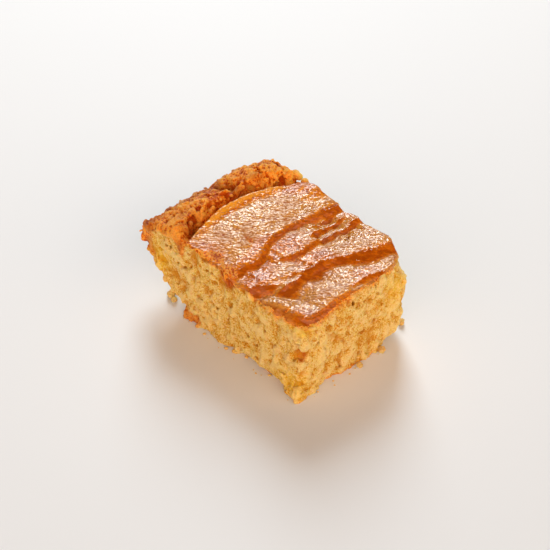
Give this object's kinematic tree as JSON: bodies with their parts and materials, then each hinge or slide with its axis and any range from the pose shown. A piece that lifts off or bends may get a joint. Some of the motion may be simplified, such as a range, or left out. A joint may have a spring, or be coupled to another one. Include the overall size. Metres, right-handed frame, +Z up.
{
  "type": "cornbread square",
  "caption": "Square of cornbread cut from the edge of a sheet pan: cut crumb sides, wrinkled browned skin on top, and a rough raised rim that overhangs one end.",
  "frame": {"origin": "bottom centre of the bounding box, in the plane the base rests on", "axes": "+Z up; +X along the length, towards the cut end, with the overhanging rim at -X; +Y from the front cut face to the back"},
  "size_m": [0.1026, 0.0684, 0.0475],
  "materials": {
    "baked_crumb": "open golden crumb with a browned, slightly glossy skin"
  },
  "bodies": {
    "root": {"cornbread": "baked_crumb"}
  },
  "joints": []
}
